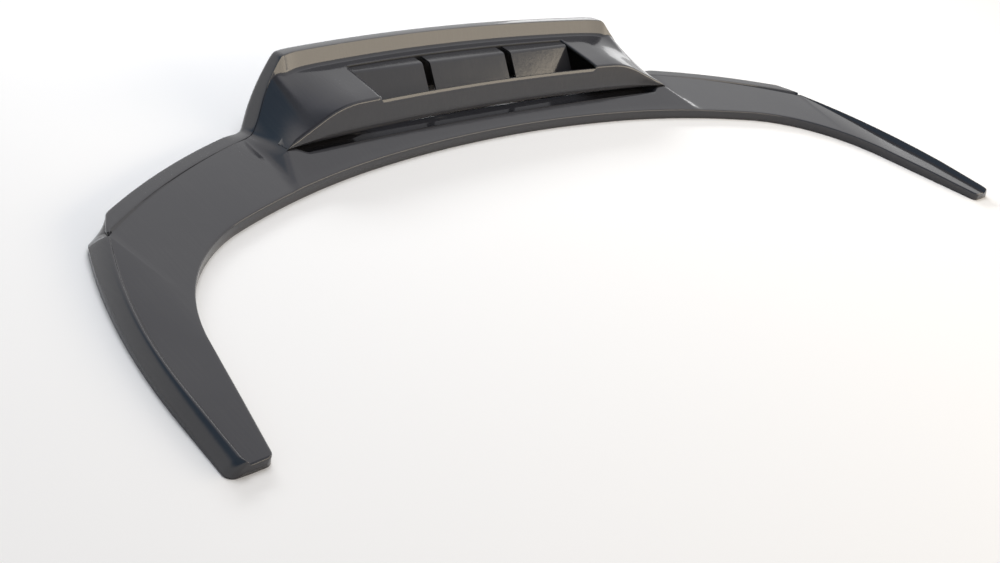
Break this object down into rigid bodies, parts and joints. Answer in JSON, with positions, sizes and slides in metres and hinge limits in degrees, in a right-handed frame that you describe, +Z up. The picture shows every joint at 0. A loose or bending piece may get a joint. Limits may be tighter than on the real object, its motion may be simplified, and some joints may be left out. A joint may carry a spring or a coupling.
{
  "type": "rear bumper splitter",
  "caption": "Gloss black rear bumper splitter: a thin U-shaped skin with turned-down edges, a raised rear rim and a hood whose window shows a slotted insert.",
  "frame": {"origin": "middle of the part's outline seen from above, on the plane that its turned-down edges stand on", "axes": "+X across the car, +Y to the rear of the car, +Z up"},
  "size_m": [1.664, 0.703, 0.1155],
  "materials": {
    "shell_plastic": "gloss",
    "insert_plastic": "gloss"
  },
  "bodies": {
    "root": {"splitter_shell": "shell_plastic", "vent_insert": "insert_plastic"}
  },
  "joints": []
}
